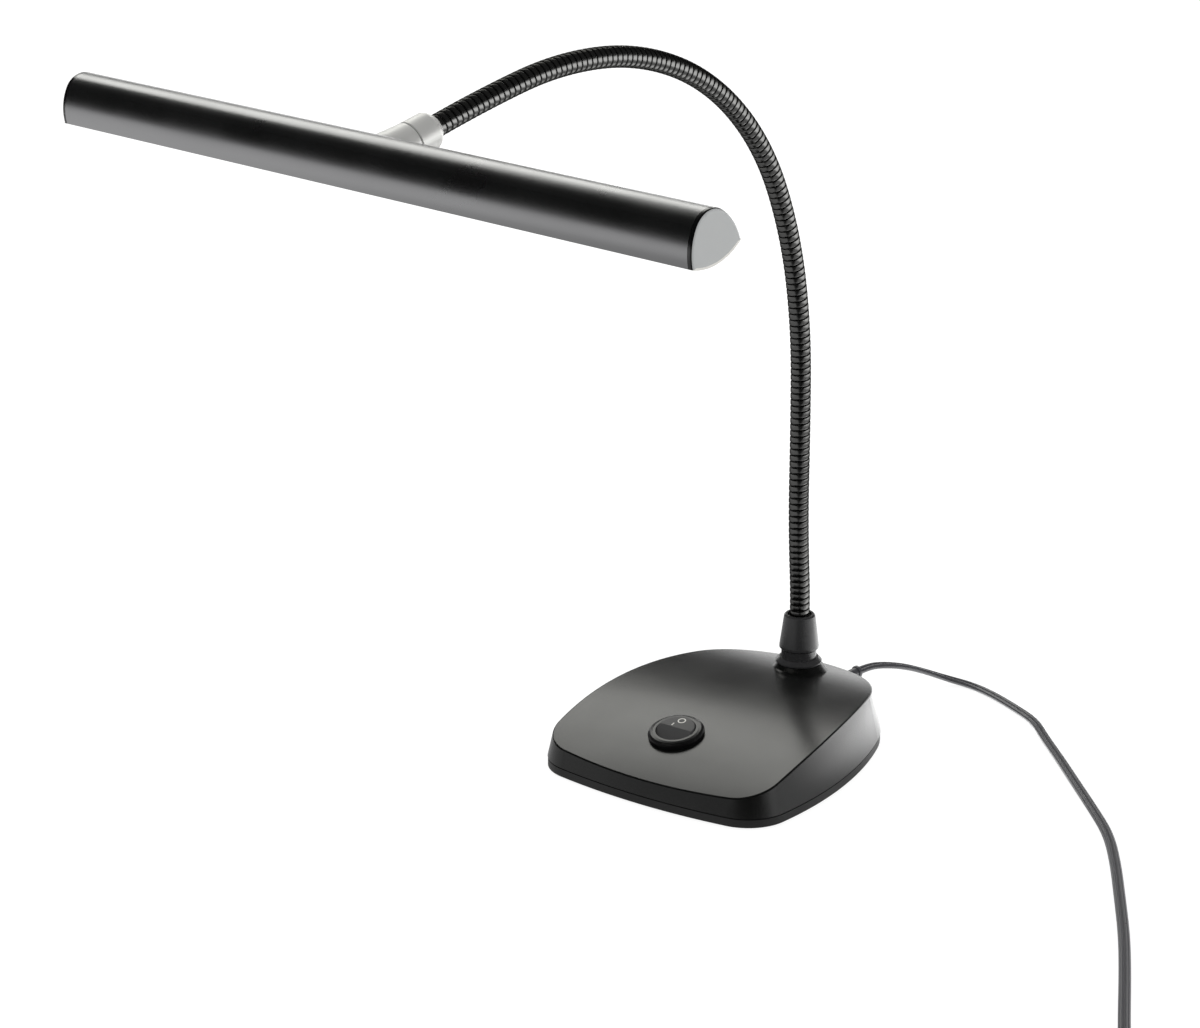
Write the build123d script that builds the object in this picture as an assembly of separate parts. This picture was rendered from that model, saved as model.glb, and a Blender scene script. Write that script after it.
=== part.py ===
"""Piano lamp: a weighted mouse-shaped base with a round rocker switch, a wound steel gooseneck
and a bar-shaped LED head that swivels on the neck's end.

Millimetres. The origin is the foot of the neck's axis on the table, +X to the right,
+Y to the back, +Z up. The head reaches out to the front.
"""
from build123d import *
from math import asin, cos, degrees, pi, radians, sin, sqrt, tan
import os

# ---------------------------------------------------------------- driving dimensions
# Base shell, seen from above: one front arc, two side arcs and a back arc, with round front corners.
BASE_WIDTH = 117.5
FRONT_Y = -117.0
BACK_Y = 22.3
WIDEST_Y = -73.0
SIDE_RADIUS = 182.0
FRONT_RADIUS = 262.0
CORNER_RADIUS = 20.0
WALL_DRAFT = 12.4          # degrees, the walls lean inwards to the top
CREST_Y = -35.5            # the arched top's highest line
CREST_Z = 24.4
TOP_RADIUS = 235.0
CREASE_RADIUS = 0.8        # rounding between top and walls
WALL = 2.2

# Base plate, pad and ballast.
SEAM_Z = 4.4               # the shell stands on the plate's rim here
SEAM_GROOVE = 0.5          # height and depth of the groove below the seam
RIM_INSET = 1.1
PLATE_UNDERSIDE_Z = 0.6
PLATE_FLOOR_Z = 2.6
LIP_TOP_Z = 7.2
LIP_THICKNESS = 1.2
LIP_FIT = 0.3
PAD_THICKNESS = 1.0
PAD_INSET = 4.0
BALLAST_THICKNESS = 6.0
BALLAST_INSET = 11.0
BALLAST_BACK_Y = -16.0
WINDOW_MARGIN = 3.5        # room round the switch's barrel in the ballast
POST_RADIUS = 3.5
FRONT_POST_INSETS = (16.75, 22.0)   # in from the base's widest line, and from its front or back
BACK_POST_INSETS = (27.75, 28.3)
SCREW_RADIUS = 1.2
SCREW_HEAD_RADIUS = 2.7
SCREW_LENGTH = 6.5
SCREW_CROSS = (0.35, 1.7, 0.7)
FIT = 0.05                 # play of a screw, pin or spigot in its hole

# Neck socket on the base.
BOSS_TOP_Z = 24.6
BOSS_TOP_RADIUS = 9.4
BOSS_FOOT_RADIUS = 12.6
BOSS_FOOT_Z = 20.4
BOSS_INNER_Z = 16.0
COLLAR_HEIGHT = 2.4
COLLAR_EDGE = 0.5          # height of its upright edge, between a rounding below and its slope
COLLAR_RADIUS = 9.7
COLLAR_TOP_RADIUS = 8.2
SOCKET_TOP_Z = 46.0
SOCKET_WAIST_RADIUS = 7.4
SOCKET_FOOT_RADIUS = 8.3
SOCKET_TOP_RADIUS = 6.55
SOCKET_WAIST_TOP_Z = 30.4
MOUTH_LIP_GAP = 1.0        # recess round the neck in the socket's mouth
MOUTH_LIP_DEPTH = 1.4
TAIL_RADIUS = 5.0
TAIL_END_Z = 9.5
WASHER_THICKNESS = 1.0
SOCKET_WASHER_RADIUS = 8.4
NUT_HEIGHT = 4.0
NUT_ACROSS_FLATS = 14.0

# Gooseneck: a root in the socket and a chain of links, each one an arc.
NECK_RADIUS = 4.15
NECK_BORE = 1.9
LEAD_RADIUS = 1.6
NECK_SEAT_Z = 33.0
ARM_TURN = -7.9            # degrees about Z, the arm's plane against the base
ROOT_LENGTH = 19.0
ROOT_BEND = 4.3
LINK_LENGTH = 41.9
LAST_LINK_LENGTH = 43.4
LINK_BENDS = (-4.5, 1.3, 9.6, 13.5, 22.0, 22.0, 19.0, 14.8, 3.8)
BALL_RADIUS = 3.95
CUP_CLEARANCE = 0.3

# Hub between the neck and the head, measured from the neck's visible end.
NECK_INSERTION = 6.0
FERRULE_LENGTH = 11.7
FERRULE_CONE = 2.7
FERRULE_FACE_RADIUS = 4.9
FERRULE_RADIUS = 7.0
FERRULE_END_RADIUS = 7.2
FERRULE_WEB = 2.8
SWIVEL_GAP = 0.3
STUB_HEAD_RADIUS = 8.0
SPINDLE_RADIUS = 3.0
SPINDLE_FLANGE_RADIUS = 4.6
SPINDLE_END = 18.5
HUB_REACH = 31.9           # neck's end to the head's axis
STUB_SCREW_X = 4.2
STUB_SCREW_Y = 3.6
STUB_SCREW_TIP = 16.0
STUB_SCREW_HEAD = 1.5

# Head: an extruded shell with a snap-in opal cover, seen along its length.
HEAD_LENGTH = 324.0
HEAD_TOP = 11.5            # the crown above the head's axis
CROWN_RADIUS = 8.9         # the crown's arc, which runs into two flatter side arcs
CROWN_ANGLE = 43.0         # degrees above level where they meet
SIDE_ARC_RADIUS = 18.9
HEAD_WALL = 1.3
WINDOW_HEIGHT = -3.8       # the chord where the round shell meets the cover
COVER_SAG = 3.0
COVER_THICKNESS = 0.8
WINDOW_HALF_WIDTH = 8.6
CAVITY_FLOOR = -2.6
CAP_THICKNESS = 2.0
CAP_PLUG_DEPTH = 6.0
CAP_EDGE_RADIUS = 1.0
RAIL_HALF_GAP = 4.4
RAIL_BOTTOM = -0.5
RAIL_THICKNESS = 1.5
BOARD_THICKNESS = 1.2
BOARD_HALF_WIDTH = 9.6
LED_COUNT = 24
LED_SIZE = (3.5, 2.8, 0.6)
BOARD_SCREW_RADIUS = 0.8
BOARD_SCREW_END = 8.0      # the outer screws' distance from the board's ends
TERMINAL_X = (-4.2, 2.6)
TERMINAL_Z = (-2.6, 2.6)
TERMINAL_HEIGHT = 3.4
WIRE_RADIUS = 0.6
WIRE_OFFSET = 0.85
WIRE_HEIGHT = 0.25

# Round rocker switch, in the frame of its seat on the arched top.
SWITCH_X = -3.0
SWITCH_Y = -85.0
FLANGE_RADIUS = 11.5
FLANGE_HEIGHT = 2.6
FLANGE_EDGE = 1.2
BARREL_RADIUS = 9.9
BARREL_DEPTH = 9.0
ROCKER_SPHERE = 8.75
ROCKER_CLEARANCE = 0.25
ROCKER_TOP = 3.3
ROCKER_PIVOT = -1.0
ROCKER_FLOOR = -3.0
ROCKER_ANGLE = 24.0        # degrees between its two faces
PIN_RADIUS = 1.2
BLADE_SIZE = (0.8, 4.8, 6.0)
BLADE_SPACING = 7.6
CHAMBER_FLOOR = -7.0
BLADE_STUB = 0.3           # height of a blade above the chamber's floor
BRIDGE_THICKNESS = 0.6
PLUNGER_RADIUS = 1.1
PLUNGER_TOP = 0.6
PLUNGER_TIP = -5.3

# Cord: a flat two-core cord, drawn here as one round tube as thick as the cord.
CORD_RADIUS = 1.1
CORD_FIRST_RUN = 6.0       # straight on from the relief
RELIEF_ANGLE = 12.5        # degrees from the middle, round the back arc
RELIEF_TILT = 6.0          # degrees, its tip higher than its root
RELIEF_Z = 13.0
RELIEF_LENGTH = 10.0
RELIEF_RADIUS = 2.2
RELIEF_RING_RADIUS = 2.7
RELIEF_RING_LENGTH = 2.0
RELIEF_FLANGE_RADIUS = 3.4
RELIEF_FLANGE_TOP = -2.9
RELIEF_INNER_END = -3.9
CORD_ROUTE = [
    (18.0, 40.6, 14.2), (22.6, 49.8, 11.6), (27.0, 59.5, 7.2), (33.5, 68.0, 2.6),
    (43.0, 70.9, 1.1), (55.5, 67.2, 1.1), (71.0, 59.6, 1.1), (85.5, 51.4, 1.1), (97.0, 38.6, 1.1),
    (113.0, 22.4, 1.1), (130.0, 4.4, 1.1), (147.5, -14.0, 1.1), (164.0, -32.0, 1.1), (178.5, -54.0, 1.1),
    (193.5, -79.4, 1.1), (209.5, -106.6, 1.1), (224.0, -134.0, 1.1), (239.0, -163.5, 1.1),
    (249.0, -183.0, 1.1), (256.8, -200.2, 1.1), (264.0, -218.5, 1.1),
]
COIL_CENTRE = (242.2, -228.2)
COIL_RADIUS = 24.0         # middle of the turns
COIL_SIDE = 15.0
COIL_HEIGHT = 7.0
TIE_WIDTH = 8.0
TIE_THICKNESS = 0.8
TAIL_ROUTE = [
    (220.5, -239.0, 1.1), (213.5, -254.0, 1.1), (215.5, -269.0, 3.6), (226.0, -280.5, 11.0),
    (247.0, -280.5, 11.0),
]
ADAPTER_SIZE = (54.0, 34.0, 24.0)
ADAPTER_CENTRE = (284.0, -280.5)
ADAPTER_CORD_Z = 11.0
ADAPTER_ROUND = 4.0
PRONG_RADIUS = 2.0
PRONG_LENGTH = 19.0
PRONG_SPACING = 18.6
PRONG_AHEAD = 12.0         # from the adapter's middle towards its far end
ADAPTER_RELIEF_LENGTH = 10.0

# ---------------------------------------------------------------- worked-out places
FORWARD = Vector(0, -1, 0).rotate(Axis.Z, ARM_TURN)
ACROSS = Vector(1, 0, 0).rotate(Axis.Z, ARM_TURN)
CUP_RADIUS = BALL_RADIUS + CUP_CLEARANCE
BALLAST_TOP_Z = PLATE_FLOOR_Z + BALLAST_THICKNESS
POST_PLACES = [(side * (BASE_WIDTH / 2 - aside), y)
               for aside, y in ((FRONT_POST_INSETS[0], FRONT_Y + FRONT_POST_INSETS[1]),
                                (BACK_POST_INSETS[0], BACK_Y - BACK_POST_INSETS[1]))
               for side in (-1, 1)]


def lean_direction(lean):
    """Direction in the arm's plane, leaning forward from the vertical by that many degrees."""
    return FORWARD * sin(radians(lean)) + Vector(0, 0, cos(radians(lean)))


def arc_step(start, lean, length, bend):
    """End point of an arc of that length which starts at that lean and turns by bend."""
    half = radians(bend) / 2
    chord = length if abs(half) < 1e-9 else length * sin(half) / half
    return start + lean_direction(lean + bend / 2) * chord


LENGTHS = (ROOT_LENGTH, *[LINK_LENGTH] * (len(LINK_BENDS) - 1), LAST_LINK_LENGTH)


def neck_stations():
    """(point, lean) at the socket's mouth, at each pivot and at the neck's visible end."""
    stations = [(Vector(0, 0, SOCKET_TOP_Z), 0.0)]
    for length, bend in zip(LENGTHS, (ROOT_BEND, *LINK_BENDS)):
        point, lean = stations[-1]
        stations.append((arc_step(point, lean, length, bend), lean + bend))
    return stations


STATIONS = neck_stations()
NECK_END, HEAD_LEAN = STATIONS[-1]
HUB_AXIS = lean_direction(HEAD_LEAN)
HUB = Plane(origin=NECK_END, x_dir=ACROSS, z_dir=HUB_AXIS).location
HEAD = Plane(origin=NECK_END + HUB_AXIS * HUB_REACH, x_dir=HUB_AXIS, z_dir=-ACROSS).location

parts = {}


def add(name, *solids, place=Location()):
    """Keep one named piece, made of one or more separate solids."""
    found = [solid.moved(place) for shape in solids for solid in shape.solids()]
    parts[name] = Compound(found) if len(found) > 1 else found[0]
    parts[name].label = name


# ---------------------------------------------------------------- small makers
def turned(*profile):
    """A solid turned about Z from (radius, height) points."""
    outline = Polyline(*[(radius, 0, height) for radius, height in profile], close=True)
    return revolve(make_face(outline), Axis.Z)


def rod(radius, low, high, x=0.0, y=0.0):
    """A round bar about a vertical line."""
    return Pos(x, y, (low + high) / 2) * Cylinder(radius, high - low)


def block(x_range, y_range, z_range):
    """A box between two corners."""
    size = [high - low for low, high in (x_range, y_range, z_range)]
    middle = [(high + low) / 2 for low, high in (x_range, y_range, z_range)]
    return Pos(*middle) * Box(*size)


def arc_about(centre, radius, start, end):
    """The shorter arc about centre from start to end, all in one plane."""
    middle = (start - centre + end - centre).normalized() * radius + centre
    return ThreePointArc(start, middle, end)


def bar_along(path, radius):
    """A round bar that follows an edge or wire."""
    section = Plane(origin=path @ 0, z_dir=path % 0) * Circle(radius)
    return sweep(section, path=path)


def routed_tube(points, radius, label):
    """A cord's tube: straight runs joined by tangent arcs as large as the runs allow."""
    corners = [Vector(*point) for point in points]
    radii = []
    for before, here, after in zip(corners, corners[1:], corners[2:]):
        turn = radians((here - before).get_angle(after - here))
        shorter = min((here - before).length, (after - here).length)
        radii.append(0.45 * shorter / tan(turn / 2))
    path = FilletPolyline(*corners, radius=radii)
    print(label, "length", round(path.length, 1), "smallest arcs", [round(r) for r in sorted(radii)[:4]])
    tube = bar_along(path, radius)
    print(label, "volume against section times length", round(tube.volume / (pi * radius**2 * path.length), 4))
    return tube


# ---------------------------------------------------------------- base
def back_arc(inset):
    """Centre's Y and radius of the back arc, which runs smoothly into both side arcs."""
    side_radius = SIDE_RADIUS - inset
    side_x = BASE_WIDTH / 2 - SIDE_RADIUS
    rise = BACK_Y - inset - WIDEST_Y
    radius = (side_radius**2 - side_x**2 - rise**2) / (2 * (side_radius - rise))
    return BACK_Y - inset - radius, radius


def base_plan(inset):
    """The base's outline as a face at Z 0, drawn in by inset all round."""
    front = FRONT_Y + inset
    side_radius, front_radius = SIDE_RADIUS - inset, FRONT_RADIUS - inset
    side_centre = Vector(BASE_WIDTH / 2 - SIDE_RADIUS, WIDEST_Y, 0)
    back_centre_y, back_radius = back_arc(inset)
    back_centre = Vector(0, back_centre_y, 0)
    shoulder = side_centre + (back_centre - side_centre).normalized() * side_radius
    front_centre = Vector(0, front + front_radius, 0)
    span = front_centre - side_centre
    along = (side_radius**2 - front_radius**2 + span.length**2) / (2 * span.length)
    aside = sqrt(side_radius**2 - along**2)
    unit = span.normalized()
    corner = side_centre + unit * along + Vector(unit.Y, -unit.X, 0) * aside
    shoulder_left = Vector(-shoulder.X, shoulder.Y, 0)
    corner_left = Vector(-corner.X, corner.Y, 0)
    side_centre_left = Vector(-side_centre.X, side_centre.Y, 0)
    outline = [
        arc_about(side_centre, side_radius, corner, shoulder),
        arc_about(back_centre, back_radius, shoulder, shoulder_left),
        arc_about(side_centre_left, side_radius, shoulder_left, corner_left),
        arc_about(front_centre, front_radius, corner_left, corner),
    ]
    face = make_face(outline)
    front_corners = face.vertices().sort_by(Axis.Y)[:2]
    return fillet(front_corners, CORNER_RADIUS - inset)


def drafted(inset, low, high):
    """The base's outline as a solid with leaning walls, between two heights."""
    prism = extrude(base_plan(inset + low * tan(radians(WALL_DRAFT))), amount=high - low, taper=WALL_DRAFT)
    return Pos(0, 0, low) * prism


def upright(inset, low, high):
    """The base's outline as a solid with upright walls."""
    return Pos(0, 0, low) * extrude(base_plan(inset), amount=high - low)


def arch(inset=0.0):
    """All that lies under the arched top, drawn in by inset."""
    radius = TOP_RADIUS - inset
    return Pos(0, CREST_Y, CREST_Z - TOP_RADIUS) * Rot(0, 90, 0) * Cylinder(radius, 2 * BASE_WIDTH)


def top_height(y):
    """Height of the arched top at that Y."""
    return CREST_Z - TOP_RADIUS + sqrt(TOP_RADIUS**2 - (y - CREST_Y) ** 2)


SWITCH_TILT = degrees(asin((SWITCH_Y - CREST_Y) / TOP_RADIUS))
SWITCH = Pos(SWITCH_X, SWITCH_Y, top_height(SWITCH_Y)) * Rot(-SWITCH_TILT, 0, 0)
BACK_ARC_Y, BACK_ARC_RADIUS = back_arc(RELIEF_Z * tan(radians(WALL_DRAFT)))
RELIEF = (Pos(0, BACK_ARC_Y, RELIEF_Z) * Rot(0, 0, -RELIEF_ANGLE) * Pos(0, BACK_ARC_RADIUS, 0)
          * Rot(RELIEF_TILT - 90, 0, 0))


def make_base_shell():
    outer = drafted(0, SEAM_Z, CREST_Z + 2) & arch()
    outer = fillet(outer.faces().sort_by(Axis.Z)[-1].edges(), CREASE_RADIUS)
    cavity = drafted(WALL, SEAM_Z - 1, CREST_Z + 2) & arch(WALL)
    shell = outer - cavity
    inner_radius = BOSS_FOOT_RADIUS - 2.0
    shell += turned((0, BOSS_INNER_Z), (inner_radius, BOSS_INNER_Z), (inner_radius, BOSS_FOOT_Z - 3),
                    (BOSS_FOOT_RADIUS, BOSS_FOOT_Z - 3), (BOSS_FOOT_RADIUS, BOSS_FOOT_Z),
                    (BOSS_TOP_RADIUS, BOSS_TOP_Z), (0, BOSS_TOP_Z))
    posts = [rod(POST_RADIUS, PLATE_FLOOR_Z, CREST_Z, x, y) & arch(WALL / 2) for x, y in POST_PLACES]
    for post in posts:
        shell += post
    shell -= rod(TAIL_RADIUS + FIT, 0, BOSS_TOP_Z + 1)
    for x, y in POST_PLACES:
        shell -= rod(SCREW_RADIUS + FIT, 0, PLATE_FLOOR_Z + SCREW_LENGTH, x, y)
    shell -= rod(BARREL_RADIUS + FIT, -BARREL_DEPTH, 8).moved(SWITCH)
    shell -= rod(RELIEF_RADIUS + FIT, -6, 6).moved(RELIEF)
    return shell


def make_base_plate():
    plate = upright(RIM_INSET, PLATE_UNDERSIDE_Z, SEAM_Z - SEAM_GROOVE)
    plate += upright(RIM_INSET + SEAM_GROOVE, PLATE_UNDERSIDE_Z, SEAM_Z)
    plate += drafted(WALL + LIP_FIT, SEAM_Z, LIP_TOP_Z)
    plate -= drafted(WALL + LIP_FIT + LIP_THICKNESS, PLATE_FLOOR_Z, LIP_TOP_Z + 1)
    plate -= upright(PAD_INSET - 0.2, PLATE_UNDERSIDE_Z - 1, PAD_THICKNESS)
    for x, y in POST_PLACES:
        plate -= rod(SCREW_RADIUS + FIT, 0, 5, x, y)
        plate -= Pos(x, y, 0) * turned((0, 0), (SCREW_HEAD_RADIUS + FIT, 0), (SCREW_HEAD_RADIUS + FIT, PAD_THICKNESS),
                                       (SCREW_RADIUS + FIT, PLATE_FLOOR_Z), (0, PLATE_FLOOR_Z))
    return plate


def make_base_screws():
    """Countersunk screws from below into the shell's posts; the pad hides their heads."""
    screw = turned((0, PAD_THICKNESS), (SCREW_HEAD_RADIUS, PAD_THICKNESS), (SCREW_RADIUS, PLATE_FLOOR_Z),
                   (SCREW_RADIUS, PLATE_FLOOR_Z + SCREW_LENGTH - 0.5), (0, PLATE_FLOOR_Z + SCREW_LENGTH - 0.1))
    half_width, half_length, depth = SCREW_CROSS
    for x, y in ((half_length, half_width), (half_width, half_length)):
        screw -= block((-x, x), (-y, y), (0, PAD_THICKNESS + depth))
    return [Pos(x, y, 0) * screw for x, y in POST_PLACES]


def make_ballast():
    """Steel plate in the tray, cut out for the switch, round the posts and short of the nut."""
    plate = upright(BALLAST_INSET, PLATE_FLOOR_Z, BALLAST_TOP_Z)
    plate &= block((-BASE_WIDTH, BASE_WIDTH), (FRONT_Y, BALLAST_BACK_Y), (0, CREST_Z))
    for x, y in POST_PLACES:
        plate -= rod(POST_RADIUS + 0.3, 0, CREST_Z, x, y)
    window = BARREL_RADIUS + WINDOW_MARGIN
    plate -= block((SWITCH_X - window, SWITCH_X + window), (SWITCH_Y - window, SWITCH_Y + window), (0, CREST_Z))
    return plate


add("base_shell", make_base_shell())
add("base_plate", make_base_plate())
add("base_pad", upright(PAD_INSET, 0, PAD_THICKNESS))
add("base_screws", *make_base_screws())
add("ballast_plate", make_ballast())


# ---------------------------------------------------------------- neck socket
def make_neck_socket():
    """Tapered ferrule with a threaded tail through the shell's boss; the neck is pressed into it."""
    collar_top = BOSS_TOP_Z + COLLAR_HEIGHT
    body = turned((0, collar_top), (SOCKET_WAIST_RADIUS, collar_top), (SOCKET_WAIST_RADIUS, SOCKET_WAIST_TOP_Z),
                  (SOCKET_FOOT_RADIUS, SOCKET_WAIST_TOP_Z + 0.9), (SOCKET_FOOT_RADIUS, SOCKET_WAIST_TOP_Z + 1.8),
                  (SOCKET_TOP_RADIUS, SOCKET_TOP_Z - 0.6), (SOCKET_TOP_RADIUS - 0.6, SOCKET_TOP_Z), (0, SOCKET_TOP_Z))
    body += rod(TAIL_RADIUS, TAIL_END_Z, collar_top + 1)
    past_mouth = SOCKET_TOP_Z + NECK_RADIUS
    body -= rod(NECK_BORE + 0.3, 0, past_mouth)
    body -= rod(NECK_RADIUS + FIT, NECK_SEAT_Z, past_mouth)
    body -= rod(NECK_RADIUS + MOUTH_LIP_GAP, SOCKET_TOP_Z - MOUTH_LIP_DEPTH, past_mouth)
    return body


def make_collar():
    low, high = BOSS_TOP_Z, BOSS_TOP_Z + COLLAR_HEIGHT
    return turned((TAIL_RADIUS + FIT, low), (COLLAR_RADIUS - 0.3, low), (COLLAR_RADIUS, low + 0.3),
                  (COLLAR_RADIUS, low + 0.3 + COLLAR_EDGE), (COLLAR_TOP_RADIUS, high), (TAIL_RADIUS + FIT, high))


def make_socket_nut():
    top = BOSS_INNER_Z - WASHER_THICKNESS
    nut = extrude(RegularPolygon(NUT_ACROSS_FLATS / 2, 6, major_radius=False), amount=NUT_HEIGHT)
    return Pos(0, 0, top - NUT_HEIGHT) * nut - rod(TAIL_RADIUS + FIT, 0, 30)


add("neck_socket", make_neck_socket())
add("socket_collar", make_collar())
add("socket_washer", rod(SOCKET_WASHER_RADIUS, BOSS_INNER_Z - WASHER_THICKNESS, BOSS_INNER_Z) - rod(TAIL_RADIUS + FIT, 0, 30))
add("socket_nut", make_socket_nut())


# ---------------------------------------------------------------- gooseneck and its lead
LINK_COUNT = len(LINK_BENDS)
LEAD_START_GAP = CUP_RADIUS + 0.4
LEAD_END_GAP = 0.5


def station_arc(index, from_start=0.0, to_end=0.0):
    """The centreline from one station to the next, shortened at its two ends."""
    point, lean = STATIONS[index]
    bend = STATIONS[index + 1][1] - lean
    length = LENGTHS[index]
    turn_per_mm = bend / length

    def at(distance):
        return arc_step(point, lean, distance, turn_per_mm * distance)

    first, last = from_start, length - to_end
    return ThreePointArc(at(first), at((first + last) / 2), at(last))


def station_place(index):
    """A station's own frame: Z along the neck, X across the arm's plane."""
    point, lean = STATIONS[index]
    return Plane(origin=point, x_dir=ACROSS, z_dir=lean_direction(lean)).location


def root_path(low, to_end=0.0):
    """The neck's centreline in the socket, from a height up to the first pivot."""
    upright_run = Line((0, 0, low), (0, 0, SOCKET_TOP_Z))
    return Wire([upright_run, station_arc(0, 0, to_end)])


def end_path(start, reach):
    """The last link's centreline, drawn on straight into the ferrule."""
    ahead = Line(NECK_END, NECK_END + HUB_AXIS * reach)
    return Wire([station_arc(LINK_COUNT, start), ahead])


def tube_along(path):
    """A piece of the neck's tube along an edge or wire."""
    ring = Plane(origin=path @ 0, x_dir=ACROSS, z_dir=path % 0) * (Circle(NECK_RADIUS) - Circle(NECK_BORE))
    return sweep(ring, path=path)


def half_ball_at(index):
    """The hollow half ball on the end of the piece below a pivot."""
    below = rod(BALL_RADIUS + 1, -BALL_RADIUS, 0) + rod(NECK_BORE, -1, BALL_RADIUS)
    return (Sphere(BALL_RADIUS) - below).moved(station_place(index))


def make_neck_root():
    return tube_along(root_path(NECK_SEAT_Z)) + half_ball_at(1)


def make_neck_link(index):
    """One link: a cup over the ball below it, and a ball for the link above or a plain end."""
    cup = Sphere(CUP_RADIUS).moved(station_place(index))
    if index == LINK_COUNT:
        return tube_along(end_path(0, NECK_INSERTION)) - cup
    return tube_along(station_arc(index)) - cup + half_ball_at(index + 1)


def make_neck_lead(index):
    """The lead inside one link, short of the ball below it."""
    if index == LINK_COUNT:
        return bar_along(end_path(LEAD_START_GAP, NECK_INSERTION), LEAD_RADIUS)
    return bar_along(station_arc(index, LEAD_START_GAP, LEAD_END_GAP), LEAD_RADIUS)


add("gooseneck_root", make_neck_root())
add("neck_lead_root", bar_along(root_path(TAIL_END_Z + 1.0, LEAD_END_GAP), LEAD_RADIUS))
for link in range(1, LINK_COUNT + 1):
    add(f"gooseneck_link_{link}", make_neck_link(link))
    add(f"neck_lead_{link}", make_neck_lead(link))


# ---------------------------------------------------------------- the head's section
def head_arch_centres():
    """Middle of the crown's arc and of the right side's arc."""
    crown = Vector(0, HEAD_TOP - CROWN_RADIUS, 0)
    turn = radians(CROWN_ANGLE)
    return crown, crown - Vector(cos(turn), sin(turn), 0) * (SIDE_ARC_RADIUS - CROWN_RADIUS)


def arch_half_width(inset, height):
    """Half the arch's width at a height on its side arcs, drawn in by inset."""
    side = head_arch_centres()[1]
    return side.X + sqrt((SIDE_ARC_RADIUS - inset) ** 2 - (height - side.Y) ** 2)


def head_arch(inset, low):
    """The head's arch as a face down to a height, drawn in by inset."""
    crown, side = head_arch_centres()
    turn = radians(CROWN_ANGLE)
    foot = Vector(arch_half_width(inset, low), low, 0)
    join = crown + Vector(cos(turn), sin(turn), 0) * (CROWN_RADIUS - inset)
    side_left, foot_left, join_left = [Vector(-point.X, point.Y, 0) for point in (side, foot, join)]
    return make_face([
        arc_about(side, SIDE_ARC_RADIUS - inset, foot, join),
        arc_about(crown, CROWN_RADIUS - inset, join, join_left),
        arc_about(side_left, SIDE_ARC_RADIUS - inset, join_left, foot_left),
        Line(foot_left, foot),
    ])


# ---------------------------------------------------------------- hub
WEB_START = FERRULE_LENGTH - FERRULE_WEB
STUB_START = FERRULE_LENGTH + SWIVEL_GAP


def make_ferrule():
    body = turned((0, 0), (FERRULE_FACE_RADIUS, 0), (FERRULE_RADIUS - 0.4, FERRULE_CONE - 0.6),
                  (FERRULE_RADIUS, FERRULE_CONE + 0.3), (FERRULE_END_RADIUS, FERRULE_LENGTH - 0.3),
                  (FERRULE_END_RADIUS - 0.3, FERRULE_LENGTH), (0, FERRULE_LENGTH))
    body -= rod(NECK_RADIUS + FIT, -1, NECK_INSERTION)
    body -= rod(SPINDLE_FLANGE_RADIUS + 0.3, NECK_INSERTION, WEB_START)
    return body - rod(SPINDLE_RADIUS + FIT, 0, FERRULE_LENGTH + 1)


def make_stub():
    """Flared stub that swivels on the ferrule and seats on the head's round back."""
    body = turned((SPINDLE_RADIUS, STUB_START), (FERRULE_END_RADIUS - 0.3, STUB_START),
                  (FERRULE_END_RADIUS, STUB_START + 0.3), (STUB_HEAD_RADIUS, HUB_REACH - HEAD_TOP + 2),
                  (STUB_HEAD_RADIUS, HUB_REACH), (SPINDLE_RADIUS, HUB_REACH))
    body -= extrude(head_arch(0, -HEAD_TOP), amount=2 * STUB_HEAD_RADIUS, both=True).moved(HUB.inverse() * HEAD)
    for x in (-STUB_SCREW_X, STUB_SCREW_X):
        body -= rod(BOARD_SCREW_RADIUS + FIT, STUB_SCREW_TIP - 0.5, HUB_REACH, x, STUB_SCREW_Y)
    return body


def make_spindle():
    """Hollow threaded spindle: its flange turns in the ferrule, its thread holds in the stub."""
    flange_low = WEB_START - 1.3
    spindle = turned((NECK_BORE, flange_low), (SPINDLE_FLANGE_RADIUS, flange_low),
                     (SPINDLE_FLANGE_RADIUS, flange_low + 0.8), (SPINDLE_RADIUS, flange_low + 0.8),
                     (SPINDLE_RADIUS, SPINDLE_END), (NECK_BORE, SPINDLE_END))
    return spindle


add("hub_ferrule", make_ferrule(), place=HUB)
add("swivel_washer", turned((SPINDLE_RADIUS + 0.1, WEB_START - 0.4), (SPINDLE_FLANGE_RADIUS, WEB_START - 0.4),
                            (SPINDLE_FLANGE_RADIUS, WEB_START), (SPINDLE_RADIUS + 0.1, WEB_START)), place=HUB)
add("swivel_spindle", make_spindle(), place=HUB)
add("hub_stub", make_stub(), place=HUB)


# ---------------------------------------------------------------- head
CHORD_HALF = arch_half_width(0, WINDOW_HEIGHT)
COVER_RADIUS = (CHORD_HALF**2 + COVER_SAG**2) / (2 * COVER_SAG)
COVER_CENTRE = WINDOW_HEIGHT - COVER_SAG + COVER_RADIUS
SHELL_LENGTH = HEAD_LENGTH - 2 * CAP_THICKNESS
BOARD_TOP = RAIL_BOTTOM
BOARD_BOTTOM = BOARD_TOP - BOARD_THICKNESS


def rectangle(x_range, y_range):
    """A flat rectangle between two corners."""
    width, height = x_range[1] - x_range[0], y_range[1] - y_range[0]
    return Pos(sum(x_range) / 2, sum(y_range) / 2) * Rectangle(width, height)


def head_outline():
    """The arch, closed below by the cover's shallow arc."""
    lens = Pos(0, COVER_CENTRE) * Circle(COVER_RADIUS) & rectangle((-CHORD_HALF, CHORD_HALF), (-40, WINDOW_HEIGHT))
    return head_arch(0, WINDOW_HEIGHT) + lens


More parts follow.
